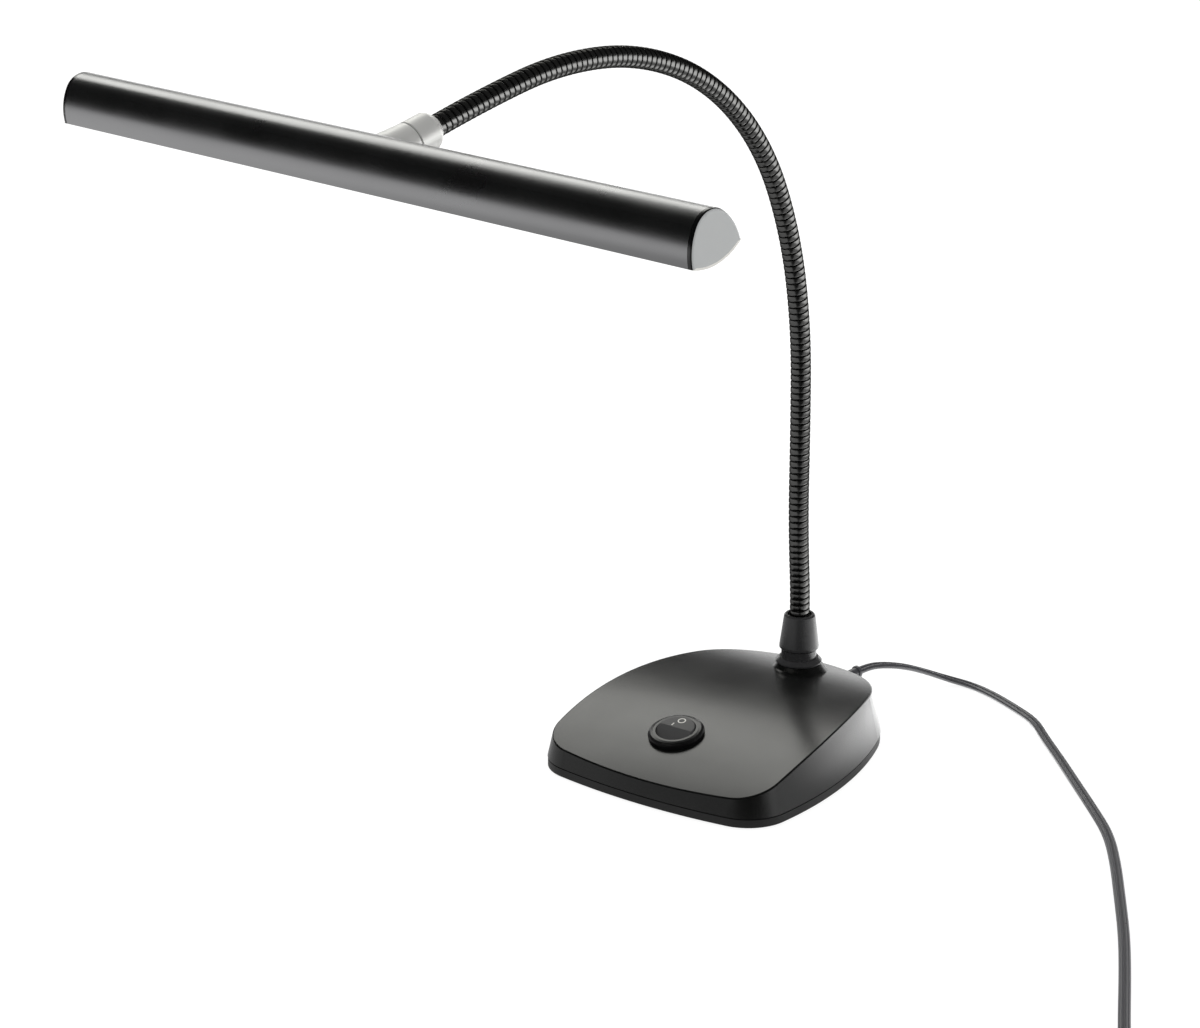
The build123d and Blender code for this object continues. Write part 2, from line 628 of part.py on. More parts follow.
def cover_band():
    return head_outline() - Pos(0, COVER_CENTRE) * Circle(COVER_RADIUS - COVER_THICKNESS) & rectangle(
        (-CHORD_HALF, CHORD_HALF), (-40, WINDOW_HEIGHT))


def extruded(section, length, middle=0.0):
    """A section of the head, drawn out along its length about a middle."""
    return Pos(0, 0, middle - length / 2) * extrude(section, amount=length)


def make_head_shell():
    section = head_outline() - cover_band()
    section -= head_arch(HEAD_WALL, CAVITY_FLOOR)
    section -= rectangle((-WINDOW_HALF_WIDTH, WINDOW_HALF_WIDTH), (-2 * HEAD_TOP, CAVITY_FLOOR + 0.5))
    for side in (-1, 1):
        reach = sorted((side * RAIL_HALF_GAP, side * CHORD_HALF))
        rail = rectangle(reach, (RAIL_BOTTOM, RAIL_BOTTOM + RAIL_THICKNESS))
        section += rail & head_arch(HEAD_WALL - 0.5, WINDOW_HEIGHT)
    shell = extruded(section, SHELL_LENGTH)
    to_hub = HEAD.inverse() * HUB
    shell -= rod(NECK_BORE, SPINDLE_END, HUB_REACH + TERMINAL_X[0]).moved(to_hub)
    for x in (-STUB_SCREW_X, STUB_SCREW_X):
        shell -= rod(BOARD_SCREW_RADIUS + FIT, SPINDLE_END, HUB_REACH - 5, x, STUB_SCREW_Y).moved(to_hub)
    for x, z in BOARD_SCREWS:
        shell -= Pos(x, 0, z) * Rot(90, 0, 0) * Cylinder(BOARD_SCREW_RADIUS + FIT, 2 * RAIL_HALF_GAP)
    return shell


def make_cap(side):
    """End cap: a disc of the head's section with a rounded edge, and a plug in the cavity above the rails."""
    middle = side * (HEAD_LENGTH - CAP_THICKNESS) / 2
    disc = extruded(head_outline() - cover_band(), CAP_THICKNESS, middle)
    outer_face = disc.faces().sort_by(Axis.Z)[-1 if side > 0 else 0]
    rim = outer_face.edges().filter_by(lambda edge: edge.center().Y > WINDOW_HEIGHT + 0.1)
    disc = fillet(rim, CAP_EDGE_RADIUS)
    plug_section = head_arch(HEAD_WALL + 0.1, RAIL_BOTTOM + RAIL_THICKNESS + 0.1)
    plug = extruded(plug_section, CAP_PLUG_DEPTH, middle - side * (CAP_THICKNESS + CAP_PLUG_DEPTH) / 2)
    return disc + plug


def make_cover():
    """Opal cover: the light window's shallow arc, with two barbed legs behind the shell's lips."""
    section = cover_band()
    leg_out = WINDOW_HALF_WIDTH - 0.1
    leg_in = leg_out - 1.0
    inner_circle = Pos(0, COVER_CENTRE) * Circle(COVER_RADIUS - 0.3)
    for side in (-1, 1):
        leg = rectangle(sorted((side * leg_in, side * leg_out)), (-2 * HEAD_TOP, CAVITY_FLOOR + 0.75)) & inner_circle
        barb = rectangle(sorted((side * leg_in, side * (leg_out + 0.8))), (CAVITY_FLOOR + 0.05, CAVITY_FLOOR + 0.75))
        section += leg
        section += barb
    legs = extruded(section, SHELL_LENGTH - 0.4)
    return extruded(cover_band(), HEAD_LENGTH) + legs


BOARD_LENGTH = SHELL_LENGTH - 2 * CAP_PLUG_DEPTH
SCREW_STATIONS = (BOARD_SCREW_END - BOARD_LENGTH / 2, 0.0, BOARD_LENGTH / 2 - BOARD_SCREW_END)
BOARD_SCREW_X = 5.9
BOARD_SCREWS = [(BOARD_SCREW_X, z) for z in SCREW_STATIONS] + [(-BOARD_SCREW_X, z) for z in SCREW_STATIONS[::2]]


def make_board():
    board = block((-BOARD_HALF_WIDTH, BOARD_HALF_WIDTH), (BOARD_BOTTOM, BOARD_TOP), (-BOARD_LENGTH / 2, BOARD_LENGTH / 2))
    for x, z in BOARD_SCREWS:
        board -= Pos(x, BOARD_TOP, z) * Rot(90, 0, 0) * Cylinder(BOARD_SCREW_RADIUS + FIT, 2 * RAIL_HALF_GAP)
    return board


def make_leds():
    pitch = BOARD_LENGTH / LED_COUNT
    width, depth, height = LED_SIZE
    low = BOARD_BOTTOM - height
    middles = [(index + 0.5) * pitch - BOARD_LENGTH / 2 for index in range(LED_COUNT)]
    return [block((-depth / 2, depth / 2), (low, BOARD_BOTTOM), (z - width / 2, z + width / 2)) for z in middles]


def make_board_screws():
    top = RAIL_BOTTOM + RAIL_THICKNESS - 0.2
    head = 0.45
    pieces = []
    for x, z in BOARD_SCREWS:
        screw = turned((0, BOARD_BOTTOM - head), (1.25, BOARD_BOTTOM - head), (1.25, BOARD_BOTTOM),
                       (BOARD_SCREW_RADIUS, BOARD_BOTTOM), (BOARD_SCREW_RADIUS, top), (0, top))
        pieces.append(Pos(x, 0, z) * Rot(-90, 0, 0) * screw)
    return pieces


def make_head_leads():
    """The two cores from the spindle's bore through the shell to the terminal block."""
    start = -HUB_REACH + WEB_START - 0.9
    length = TERMINAL_X[0] - start
    return [Pos(start + length / 2, WIRE_HEIGHT, side * WIRE_OFFSET) * Rot(0, 90, 0) * Cylinder(WIRE_RADIUS, length)
            for side in (-1, 1)]


def make_stub_screws():
    """Two screws from inside the shell into the stub, in the hub's frame."""
    seat = HUB_REACH - arch_half_width(HEAD_WALL, STUB_SCREW_Y + STUB_SCREW_HEAD)
    screw = turned((0, STUB_SCREW_TIP), (BOARD_SCREW_RADIUS, STUB_SCREW_TIP), (BOARD_SCREW_RADIUS, seat),
                   (STUB_SCREW_HEAD, seat), (STUB_SCREW_HEAD, seat + 0.9), (0, seat + 0.9))
    return [Pos(x, STUB_SCREW_Y, 0) * screw for x in (-STUB_SCREW_X, STUB_SCREW_X)]


add("head_shell", make_head_shell(), place=HEAD)
add("end_cap_left", make_cap(1), place=HEAD)
add("end_cap_right", make_cap(-1), place=HEAD)
add("light_cover", make_cover(), place=HEAD)
add("led_board", make_board(), place=HEAD)
add("leds", *make_leds(), place=HEAD)
add("board_screws", *make_board_screws(), place=HEAD)
add("terminal_block", block(TERMINAL_X, (BOARD_TOP, BOARD_TOP + TERMINAL_HEIGHT), TERMINAL_Z), place=HEAD)
add("head_leads", *make_head_leads(), place=HEAD)
add("stub_screws", *make_stub_screws(), place=HUB)


# ---------------------------------------------------------------- switch
BLADE_PLACES = (-BLADE_SPACING / 2, BLADE_SPACING / 2)
BLADE_TOP = CHAMBER_FLOOR + BLADE_STUB


def make_bezel():
    """Flange with a domed face, a snap-in barrel and a round pocket for the rocker."""
    bezel = turned((0, 0), (FLANGE_RADIUS, 0), (FLANGE_RADIUS, FLANGE_EDGE), (FLANGE_RADIUS - 0.35, FLANGE_EDGE + 0.6),
                   (FLANGE_RADIUS - 1.2, FLANGE_HEIGHT - 0.25), (FLANGE_RADIUS - 2.2, FLANGE_HEIGHT), (0, FLANGE_HEIGHT))
    bezel += rod(BARREL_RADIUS, -BARREL_DEPTH, 0.5)
    bezel -= flange_underside()
    pocket = Pos(0, 0, ROCKER_PIVOT) * Sphere(ROCKER_SPHERE + ROCKER_CLEARANCE)
    pocket &= block((-20, 20), (-20, 20), (CHAMBER_FLOOR, 20))
    bezel -= pocket
    bezel -= Pos(0, 0, ROCKER_PIVOT) * Rot(0, 90, 0) * Cylinder(PIN_RADIUS + FIT, 2 * (BARREL_RADIUS - 0.25))
    for y in BLADE_PLACES:
        bezel -= block((-BLADE_SIZE[1] / 2 - FIT, BLADE_SIZE[1] / 2 + FIT),
                       (y - BLADE_SIZE[0] / 2 - FIT, y + BLADE_SIZE[0] / 2 + FIT), (-20, CHAMBER_FLOOR + 0.1))
    return bezel


def flange_underside():
    """What the arched top takes from the flange's underside, in the switch's frame."""
    return arch().moved(SWITCH.inverse()) - rod(BARREL_RADIUS + 0.05, -40, 10)


def make_rocker():
    """Roof-shaped rocker: a ball cut by two faces that meet in a ridge, with pins at its sides."""
    rocker = Pos(0, 0, ROCKER_PIVOT) * Sphere(ROCKER_SPHERE)
    rocker &= block((-20, 20), (-20, 20), (ROCKER_FLOOR, ROCKER_TOP))
    front_face = Pos(0, 0, ROCKER_TOP) * Rot(ROCKER_ANGLE, 0, 0) * Pos(0, -20, 10) * Box(60, 40, 20)
    rocker -= front_face
    rocker += Pos(0, 0, ROCKER_PIVOT) * Rot(0, 90, 0) * Cylinder(PIN_RADIUS, 2 * (BARREL_RADIUS - 0.35))
    return rocker - rod(PLUNGER_RADIUS + FIT, -20, PLUNGER_TOP)


def make_blades():
    """Two contact blades through the chamber's floor."""
    thickness, width, length = BLADE_SIZE
    return [block((-width / 2, width / 2), (y - thickness / 2, y + thickness / 2), (BLADE_TOP - length, BLADE_TOP))
            for y in BLADE_PLACES]


def make_bridge():
    """Seesaw contact strip that lies on both blades."""
    reach = BLADE_SPACING / 2 + 0.8
    return block((-2.0, 2.0), (-reach, reach), (BLADE_TOP, BLADE_TOP + BRIDGE_THICKNESS))


add("switch_bezel", make_bezel(), place=SWITCH)
add("switch_rocker", make_rocker(), place=SWITCH)
add("rocker_plunger", rod(PLUNGER_RADIUS, PLUNGER_TIP, PLUNGER_TOP), place=SWITCH)
add("switch_blades", *make_blades(), place=SWITCH)
add("contact_bridge", make_bridge(), place=SWITCH)


# ---------------------------------------------------------------- leads inside the base
def switch_point(x, y, z):
    """A point given in the switch's frame, in the lamp's frame."""
    return (SWITCH * Location((x, y, z))).position


INNER_WIRE_RADIUS = 0.7
INNER_WIRE_BEND = 2.0
CORE_SPACING = 1.8
BLADE_END = BLADE_TOP - BLADE_SIZE[2]
INNER_Z = BALLAST_TOP_Z + INNER_WIRE_RADIUS + 0.1


def core_start(side):
    """Where one of the cord's two cores comes out of the relief, inside the base."""
    return (RELIEF * Location((side * CORE_SPACING / 2, 0, RELIEF_INNER_END - 0.4))).position


def make_switch_leads():
    """One core from the cord and one from the neck, each ending on the tip of a switch blade."""
    window_back = SWITCH_Y + BARREL_RADIUS + WINDOW_MARGIN
    cord_run = [core_start(1), (14.5, 6.0, 8.8), (14.0, BALLAST_BACK_Y + 2.0, INNER_Z)]
    neck_run = [(-CORE_SPACING / 2, 0, TAIL_END_Z - 0.4), (-2.5, -4.0, 5.5), (-9.0, BALLAST_BACK_Y + 2.0, INNER_Z)]
    pieces = []
    for side, run in ((-1, cord_run), (1, neck_run)):
        blade = switch_point(side * 1.2, side * BLADE_SPACING / 2, BLADE_END - INNER_WIRE_RADIUS - 0.05)
        beside = SWITCH_X - side * (BLADE_SIZE[1] / 2 + 2.0)
        route = run + [(run[-1][0] + side, -45.0, INNER_Z), (beside, window_back - 1.6, INNER_Z),
                       (beside, blade.Y + 1.5, blade.Z), blade]
        pieces.append(bar_along(FilletPolyline(*route, radius=INNER_WIRE_BEND), INNER_WIRE_RADIUS))
    return pieces


def make_return_lead():
    """The cord's other core, straight to the neck."""
    route = [core_start(-1), (8.0, 8.0, 8.0), (3.5, 2.0, 5.0), (CORE_SPACING / 2, 0.2, TAIL_END_Z - 0.4)]
    return bar_along(FilletPolyline(*route, radius=1.5), INNER_WIRE_RADIUS)


add("switch_leads", *make_switch_leads())
add("return_lead", make_return_lead())


# ---------------------------------------------------------------- cord and what is on it
def make_relief():
    """Moulded bushing through the back wall: a flange inside, a ring at its tip, axis along Z here."""
    ring_low = RELIEF_LENGTH - RELIEF_RING_LENGTH
    return turned((0, RELIEF_INNER_END), (RELIEF_FLANGE_RADIUS, RELIEF_INNER_END),
                  (RELIEF_FLANGE_RADIUS, RELIEF_FLANGE_TOP), (RELIEF_RADIUS, RELIEF_FLANGE_TOP),
                  (RELIEF_RADIUS, ring_low), (RELIEF_RING_RADIUS, ring_low + 0.4),
                  (RELIEF_RING_RADIUS, RELIEF_LENGTH - 0.5), (RELIEF_RING_RADIUS - 0.5, RELIEF_LENGTH),
                  (0, RELIEF_LENGTH))


def relief_point(distance):
    return (RELIEF * Location((0, 0, distance))).position


cord_route = [relief_point(RELIEF_LENGTH), relief_point(RELIEF_LENGTH + CORD_FIRST_RUN)] + CORD_ROUTE
print("cord starts with", [[round(value, 2) for value in point] for point in cord_route[:2]])
cord = routed_tube(cord_route, CORD_RADIUS, "cord")
tail = routed_tube(TAIL_ROUTE, CORD_RADIUS, "cord tail")


def make_coil():
    ring = Cylinder(COIL_RADIUS + COIL_SIDE / 2, COIL_HEIGHT) - Cylinder(COIL_RADIUS - COIL_SIDE / 2, COIL_HEIGHT)
    return Pos(*COIL_CENTRE, COIL_HEIGHT / 2) * ring


def make_tie():
    """Flat strap round the coil's turns."""
    outside = Box(COIL_SIDE + 2 * TIE_THICKNESS, TIE_WIDTH, COIL_HEIGHT + TIE_THICKNESS)
    inside = Box(COIL_SIDE, 2 * TIE_WIDTH, COIL_HEIGHT - TIE_THICKNESS)
    place = Pos(COIL_CENTRE[0] + COIL_RADIUS, COIL_CENTRE[1], (COIL_HEIGHT + TIE_THICKNESS) / 2)
    return place * (outside - inside)


def make_adapter():
    """Plug-in power supply, lying on its back with its prongs up."""
    length, width, height = ADAPTER_SIZE
    case = Pos(*ADAPTER_CENTRE, height / 2) * Box(length, width, height)
    case = fillet(case.edges().filter_by(Axis.Z), ADAPTER_ROUND)
    case = fillet(case.faces().sort_by(Axis.Z)[0].edges(), ADAPTER_ROUND / 2)
    return case


def make_prongs():
    x, y = ADAPTER_CENTRE
    top = ADAPTER_SIZE[2]
    tip = top + PRONG_LENGTH
    prong = turned((0, top), (PRONG_RADIUS, top), (PRONG_RADIUS, tip - 1.0), (PRONG_RADIUS - 0.8, tip), (0, tip))
    return [Pos(x + PRONG_AHEAD, y + side * PRONG_SPACING / 2, 0) * prong for side in (-1, 1)]


def make_adapter_relief():
    start = ADAPTER_CENTRE[0] - ADAPTER_SIZE[0] / 2
    cone = turned((0, 0), (3.4, 0), (2.2, ADAPTER_RELIEF_LENGTH), (0, ADAPTER_RELIEF_LENGTH))
    return Pos(start, ADAPTER_CENTRE[1], ADAPTER_CORD_Z) * Rot(0, -90, 0) * cone


add("cord_relief", make_relief(), place=RELIEF)
add("cord", cord)
add("cord_coil", make_coil())
add("cord_tie", make_tie())
add("cord_tail", tail)
add("adapter_case", make_adapter())
add("adapter_prongs", *make_prongs())
add("adapter_relief", make_adapter_relief())

# ---------------------------------------------------------------- files and figures
os.makedirs("parts", exist_ok=True)
for name, piece in parts.items():
    export_step(piece, f"parts/{name}.step")
print(len(parts), "nodes")
for index, (point, lean) in enumerate(STATIONS):
    print("station", index, [round(value, 3) for value in point], "lean", round(lean, 2))
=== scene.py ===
# %% [markdown]
# # A piano lamp, dressed in Blender
# The lamp has a weighted base with a round switch, a wound metal gooseneck, and a long LED head.
# Its measured parts come from a imported CAD model, the fixed frame, which this notebook loads first.
# The notebook then sets up the camera and the light, lays the cord, winds the neck, prints
# the switch's two marks, and gives every surface the finish of its real material, with painted shade added
# on the neck's bands and in its grooves.

# %% Blender and the fixed frame
import math

import bmesh
import bpy
from mathutils import Matrix, Vector


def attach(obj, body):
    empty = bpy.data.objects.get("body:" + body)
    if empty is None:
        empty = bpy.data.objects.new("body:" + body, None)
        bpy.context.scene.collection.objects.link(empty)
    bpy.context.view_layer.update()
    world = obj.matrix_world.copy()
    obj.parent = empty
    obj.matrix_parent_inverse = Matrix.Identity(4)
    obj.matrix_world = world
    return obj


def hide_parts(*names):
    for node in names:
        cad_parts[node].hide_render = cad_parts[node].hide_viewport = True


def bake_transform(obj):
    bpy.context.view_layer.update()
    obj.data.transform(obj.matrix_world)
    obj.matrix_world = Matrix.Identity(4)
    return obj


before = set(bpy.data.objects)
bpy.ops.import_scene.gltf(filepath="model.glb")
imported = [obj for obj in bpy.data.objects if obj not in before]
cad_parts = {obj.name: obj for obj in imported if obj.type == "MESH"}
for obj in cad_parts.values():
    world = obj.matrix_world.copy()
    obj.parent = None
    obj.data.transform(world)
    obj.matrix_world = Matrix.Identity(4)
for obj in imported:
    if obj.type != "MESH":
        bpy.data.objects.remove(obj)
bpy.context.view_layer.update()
scene = bpy.context.scene


# %% [markdown]
# ## Two helpers
# The lamp's sizes are easier to think of in millimetres, while Blender works in metres.
# Paint colours are written as the hex values that a paint chart gives. Those are coded for a
# screen, so one function turns them into the linear values that shaders expect.

# %% Millimetres and hex colours
def mm(*values):
    """Millimetres as metres, one number or a vector."""
    return values[0] / 1000 if len(values) == 1 else Vector(values) / 1000


def paint(code):
    """A linear RGBA colour from an sRGB hex code."""
    coded = [int(code[i:i + 2], 16) / 255 for i in (1, 3, 5)]
    return [c / 12.92 if c <= 0.04045 else ((c + 0.055) / 1.055) ** 2.4 for c in coded] + [1.0]


print("20 mm is", mm(20), "m, mid grey is", round(paint("#808080")[0], 3))


# %% [markdown]
# ## Camera
# The lamp is seen from its front right, a little from above, with a moderate telephoto lens.
# The lens is a plain perspective one without shift, and depth of field stays off.

# %% Camera
LOOK_DOWN = 18.695                         # degrees below level
LOOK_LEFT = 36.553                         # degrees left of straight to the back

camera = bpy.data.objects.new("camera", bpy.data.cameras.new("camera"))
camera.data.lens = 93
camera.data.sensor_width = 36
camera.data.sensor_fit = "HORIZONTAL"
camera.location = (0.658, -1.0281, 0.502)
camera.rotation_euler = (math.radians(90 - LOOK_DOWN), 0, math.radians(LOOK_LEFT))
scene.collection.objects.link(camera)
scene.camera = camera
scene.view_settings.view_transform = "Standard"
print("camera at", tuple(camera.location))


# %% [markdown]
# ## Shader nodes
# A finish is a small graph of nodes. One function adds a node: its settings by name, and its
# inputs from a value or from another node's socket. Everything below is built with it. Two
# short ones on top of it do the sums: a smooth step between two levels, and a Math node.

# %% Adding nodes, and sums with sockets
def add_node(tree, kind, inputs=None, **settings):
    """A node with its settings; an input takes a value, or a link from a socket."""
    made = tree.nodes.new(kind)
    for name, value in settings.items():
        setattr(made, name, value)
    for name, value in (inputs or {}).items():
        if isinstance(value, bpy.types.NodeSocket):
            tree.links.new(value, made.inputs[name])
        else:
            made.inputs[name].default_value = value
    return made


def ramp(tree, value, low, high, to_low=0.0, to_high=1.0):
    """A smooth step of a socket's value from one level to another."""
    levels = {"Value": value, "From Min": low, "From Max": high, "To Min": to_low, "To Max": to_high}
    return add_node(tree, "ShaderNodeMapRange", levels, interpolation_type="SMOOTHSTEP").outputs["Result"]


def calc(tree, operation, first, second):
    """The result of a Math node on two values or sockets."""
    return add_node(tree, "ShaderNodeMath", {0: first, 1: second}, operation=operation).outputs[0]


print("helpers", add_node.__name__, ramp.__name__, calc.__name__)


# %% [markdown]
# ## Studio
# Dark glossy things show the room more than themselves, so the room is drawn with care. For
# reflections it is dark above the table and in front, and white along the horizon behind,
# where a lit backdrop stands, brighter on the right than on the left. An image of a studio
# could do this too, but a few ramps on the direction are smooth and easy to adjust. Matt
# surfaces get an even, plain light, and the camera sees plain white.

# %% The room, as the world's shader
WHITE = paint("#ffffff")
BACKDROP_LEFT, BACKDROP_RIGHT = 2.2, 3.3   # strengths; 1 is white
SKY_BEHIND, SKY_ALL_ROUND = 0.06, 0.005
EVEN_LIGHT = 0.8                           # on matt surfaces

world = bpy.data.worlds.new("studio")
scene.world = world
world.use_nodes = True
tree = world.node_tree
tree.nodes.clear()
way = add_node(tree, "ShaderNodeTexCoord").outputs["Generated"]
axes = add_node(tree, "ShaderNodeSeparateXYZ", {0: way})
behind = ramp(tree, axes.outputs["Y"], -0.15, 0.3)                # 0 in front and 1 behind
low_down = ramp(tree, axes.outputs["Z"], 0.03, 0.2, 1.0, 0.0)     # 1 at the horizon, 0 above
strength = ramp(tree, axes.outputs["X"], -0.05, 0.35, BACKDROP_LEFT, BACKDROP_RIGHT)
backdrop = calc(tree, "MULTIPLY", calc(tree, "MULTIPLY", behind, low_down), strength)
sky = calc(tree, "ADD", calc(tree, "MULTIPLY", behind, SKY_BEHIND), SKY_ALL_ROUND)
mirrored = calc(tree, "ADD", backdrop, sky)
print("room nodes", len(tree.nodes))

# %% [markdown]
# A mirror-like surface asks the world with a glossy ray, a matt one with a diffuse ray, and
# the camera with its own. The Light Path node tells them apart, so each gets its room.

# %% Which ray sees which room
rays = add_node(tree, "ShaderNodeLightPath")
glossy, direct = rays.outputs["Is Glossy Ray"], rays.outputs["Is Camera Ray"]
plain = add_node(tree, "ShaderNodeMix", {"Factor": glossy, "A": EVEN_LIGHT, "B": mirrored},
                 data_type="FLOAT").outputs["Result"]
seen = add_node(tree, "ShaderNodeMix", {"Factor": direct, "A": plain, "B": 1.0},
                data_type="FLOAT").outputs["Result"]
background = add_node(tree, "ShaderNodeBackground", {"Color": WHITE, "Strength": seen})
add_node(tree, "ShaderNodeOutputWorld", {"Surface": background.outputs[0]})
print("world nodes", len(tree.nodes))


# %% [markdown]
# One large softbox stands behind on the left. It draws the pale band along the head's top and
# the sheen across the base, and it is wide, so the shadows stay soft. Its light is very
# slightly warm. It is one rectangular area light that looks at the lamp's middle.

# %% The softbox
SOFTBOX_PLACE = Vector((-0.98, 0.8, 1.23))
LAMP_MIDDLE = Vector((0, -0.05, 0.05))

softbox = bpy.data.objects.new("softbox", bpy.data.lights.new("softbox", "AREA"))
softbox.data.shape = "RECTANGLE"
softbox.data.size, softbox.data.size_y = 1.65, 0.68
softbox.data.energy = 10.4
softbox.data.color = paint("#fffffa")[:3]
softbox.location = SOFTBOX_PLACE
softbox.rotation_euler = (LAMP_MIDDLE - SOFTBOX_PLACE).to_track_quat("-Z", "Y").to_euler()
scene.collection.objects.link(softbox)
print("lamp", softbox.data.energy, "W")


# %% [markdown]
# ## Floor
# The floor is a plain white sheet. For the camera it glows a little, so that it meets the
# white background without a line, and it still takes the lamp's shadow. In reflections it is
# brightest close beside the base, on the left and at the back right, and dark in a wedge
# that opens towards the front right. The sheet itself is one flat face.

# %% The white sheet
SHEET_HALF = 6                             # metres, half a side
sheet_mesh = bmesh.new()
bmesh.ops.create_grid(sheet_mesh, x_segments=1, y_segments=1, size=SHEET_HALF)
floor = bpy.data.objects.new("floor", bpy.data.meshes.new("floor"))
sheet_mesh.to_mesh(floor.data)
sheet_mesh.free()
scene.collection.objects.link(floor)
print("floor", tuple(round(x, 1) for x in floor.dimensions))


# %% [markdown]
# Distances over the floor make the bright places, because they stay where they are when the
# camera moves. Each place is one smooth step, and they add up.

# %% How bright the sheet is in a mirror
white_sheet = bpy.data.materials.new("white_paper_sweep")
white_sheet.use_nodes = True
tree = white_sheet.node_tree
tree.nodes.clear()
spot = add_node(tree, "ShaderNodeTexCoord").outputs["Object"]


def floor_along(direction):
    """How far a spot on the floor lies in a direction."""
    return add_node(tree, "ShaderNodeVectorMath", {0: spot, 1: direction},
                    operation="DOT_PRODUCT").outputs["Value"]


LIT_ALL_OVER = 0.62
POOL_MIDDLE = (0.08, 0.095, 0)             # beside the base, at its back right
LEFT, BACK_RIGHT = (-1, 0, 0), (0.7, 0.7, 0)
from_pool = add_node(tree, "ShaderNodeVectorMath", {0: spot, 1: POOL_MIDDLE},
                     operation="DISTANCE").outputs["Value"]
near_pool = ramp(tree, from_pool, 0.04, 0.14, 3.0, 0.0)           # metres, then strengths
far_left = ramp(tree, floor_along(LEFT), 0.3, 0.65, 0.0, 0.55)
back_right = ramp(tree, floor_along(BACK_RIGHT), 0.38, 0.75, 0.0, 3.0)
lit = LIT_ALL_OVER
for pool in (near_pool, far_left, back_right):
    lit = calc(tree, "ADD", pool, lit)
print("floor nodes", len(tree.nodes))

# %% [markdown]
# The wedge is where the way forward is longer than the way to either side, times a slope. The
# absolute value of the sideways way makes both of its sides at once.

# %% The dark wedge
FRONT_RIGHT, BESIDE_THAT = (0.62, -0.78, 0), (0.78, 0.62, 0)
WEDGE_START, WEDGE_SIDE = 0.095, 0.025     # metres from the lamp's foot to the wedge's point
WEDGE_SLOPE = 1.3                          # metres forward for one sideways
forward = calc(tree, "SUBTRACT", floor_along(FRONT_RIGHT), WEDGE_START)
sideways = calc(tree, "ABSOLUTE", calc(tree, "ADD", floor_along(BESIDE_THAT), WEDGE_SIDE), 0.0)
wedge = calc(tree, "SUBTRACT", forward, calc(tree, "MULTIPLY", sideways, WEDGE_SLOPE))
unlit = ramp(tree, wedge, 0.0, 0.12, 1.0, 0.08)
print("floor nodes", len(tree.nodes))

# %% [markdown]
# The camera sees a mix of glow and plain white paper, and only the paper's part takes shadow. A
# glossy ray sees the places from above instead, as a light that is as bright as they say.

# %% What the camera and the mirrors see of it
GLOW = 1.22                                # for the camera; 1 is white
GLOW_SHARE = 0.72                          # the rest is the sheet's own white, which takes shadow
rays = add_node(tree, "ShaderNodeLightPath")
paper = add_node(tree, "ShaderNodeBsdfDiffuse", {"Color": paint("#ededed")})
glow = add_node(tree, "ShaderNodeEmission", {"Color": WHITE, "Strength": GLOW})
share = calc(tree, "MULTIPLY", rays.outputs["Is Camera Ray"], GLOW_SHARE)
seen = add_node(tree, "ShaderNodeMixShader", {0: share, 1: paper.outputs[0], 2: glow.outputs[0]})
mirror_light = calc(tree, "MULTIPLY", lit, unlit)
in_mirror = add_node(tree, "ShaderNodeEmission", {"Color": WHITE, "Strength": mirror_light})
both = add_node(tree, "ShaderNodeMixShader",
                {0: rays.outputs["Is Glossy Ray"], 1: seen.outputs[0], 2: in_mirror.outputs[0]})
add_node(tree, "ShaderNodeOutputMaterial", {"Surface": both.outputs[0]})
floor.data.materials.append(white_sheet)
print("floor nodes", len(tree.nodes))


# %% [markdown]
# ## Cord
# The cord is flat, two cores side by side in one soft black sheath. It leaves its bushing
# in the back wall, falls to the table, and runs round the base to the front, where the spare
# length lies in a coil with a strap before it goes into the plug-in supply.
# A cord has no corners, so its line is a smooth spline with a few points along the way.

# %% The cord's route
CORD_WIDTH = 4.4
CORD_THICK = 2.2
route = [mm(*point) for point in (
    (12.58, 28.01, 14.05), (13.87, 33.83, 14.67), (18.0, 40.6, 14.2), (22.6, 49.8, 11.6), (27.0, 59.5, 7.2),
    (33.5, 68.0, 2.6), (43.0, 70.9, 1.1), (55.5, 67.2, 1.1), (71.0, 59.6, 1.1), (85.5, 51.4, 1.1),
    (97.0, 38.6, 1.1), (113.0, 22.4, 1.1), (130.0, 4.4, 1.1), (147.5, -14.0, 1.1), (164.0, -32.0, 1.1),
    (178.5, -54.0, 1.1), (193.5, -79.4, 1.1), (209.5, -106.6, 1.1), (224.0, -134.0, 1.1),
    (239.0, -163.5, 1.1), (249.3, -183.0, 1.1), (257.5, -199.0, 1.1))]
print("points before the coil", len(route))


# %% [markdown]
# The coil has nine turns: three beside each other, and three layers. Each turn keeps its
# radius and layer for most of the way round, and slips over to the next one at its end. The
# last turn rises over the others, drops to the table outside, and leads to the supply. Turns
# follow a rule, so a loop lays their points, while the loose end's points are listed one by one.

# %% The coil's turns and the end
COIL_MIDDLE = mm(242.2, -228.2, 0)
TURNS = (                                  # radius and height of each turn, and of what follows
    (28.7, 1.15), (24.0, 1.15), (19.3, 1.15), (19.3, 3.4), (24.0, 3.4), (28.7, 3.4),
    (28.7, 5.65), (24.0, 5.65), (19.3, 5.65), (19.3, 5.65))
STEPS = 14                                 # points in a turn
SLIP_STEPS = 3                             # the last steps of a turn lead to the next one
COIL_START = 36                            # degrees, where the cord comes in
LAST_TURN, LAST_STEP = 8, 3                # where the cord leaves the coil again
INSIDE = 0.975                             # a smooth spline runs inside its points by that much

